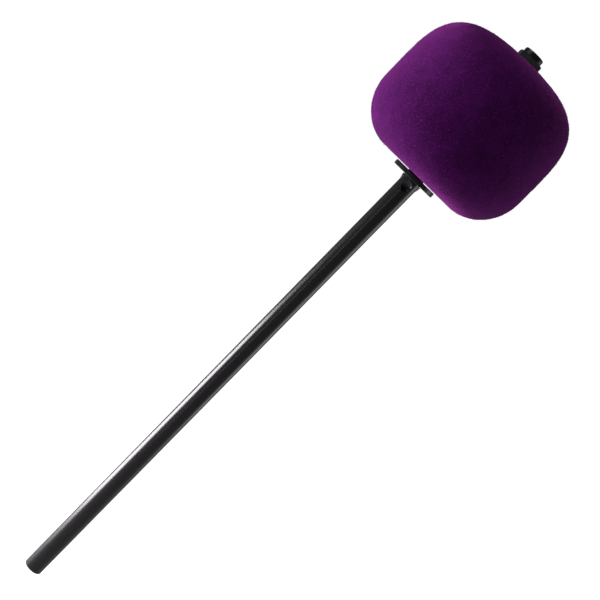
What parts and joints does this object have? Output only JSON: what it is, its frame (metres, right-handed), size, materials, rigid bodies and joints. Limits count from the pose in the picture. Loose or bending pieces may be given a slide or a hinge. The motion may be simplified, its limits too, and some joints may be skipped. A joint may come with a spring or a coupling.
{
  "type": "bass drum beater",
  "caption": "Bass drum beater with a straight rod, a turned felt head clamped between washers, and a nylon insert lock nut on the rod's threaded top.",
  "frame": {"origin": "centre of the rod's flat lower end, the end that goes into the pedal's hub", "axes": "+Z along the rod from its lower end to the head; the staked dents face -Y and +Y, and the ears they raise lie along X"},
  "size_m": [0.0574, 0.0574, 0.2283],
  "materials": {
    "rod": "gloss",
    "washers": "satin",
    "felt": "matte",
    "nut": "satin",
    "nylon": "satin"
  },
  "bodies": {
    "rod": {"rod": "rod", "lower_washer": "washers"},
    "head": {"felt_head": "felt"},
    "washer": {"upper_washer": "washers"},
    "nut": {"lock_nut": "nut", "nylon_insert": "nylon"}
  },
  "joints": [
    {"name": "head_turn", "type": "hinge", "parent": "rod", "child": "head", "pos_m": [0, 0, 0.20047], "axis": [0, 0, 1], "continuous": true},
    {"name": "nut_lift", "type": "slide", "parent": "rod", "child": "washer", "axis": [0, 0, 1], "range_m": [0, 0.0032]},
    {"name": "nut_turn", "type": "hinge", "parent": "washer", "child": "nut", "pos_m": [0, 0, 0.22332], "axis": [0, 0, 1], "range_deg": [0, 1440]}
  ],
  "couplings": [
    {"joint": "nut_turn", "follows": "nut_lift", "rad_per_m": 7854}
  ]
}
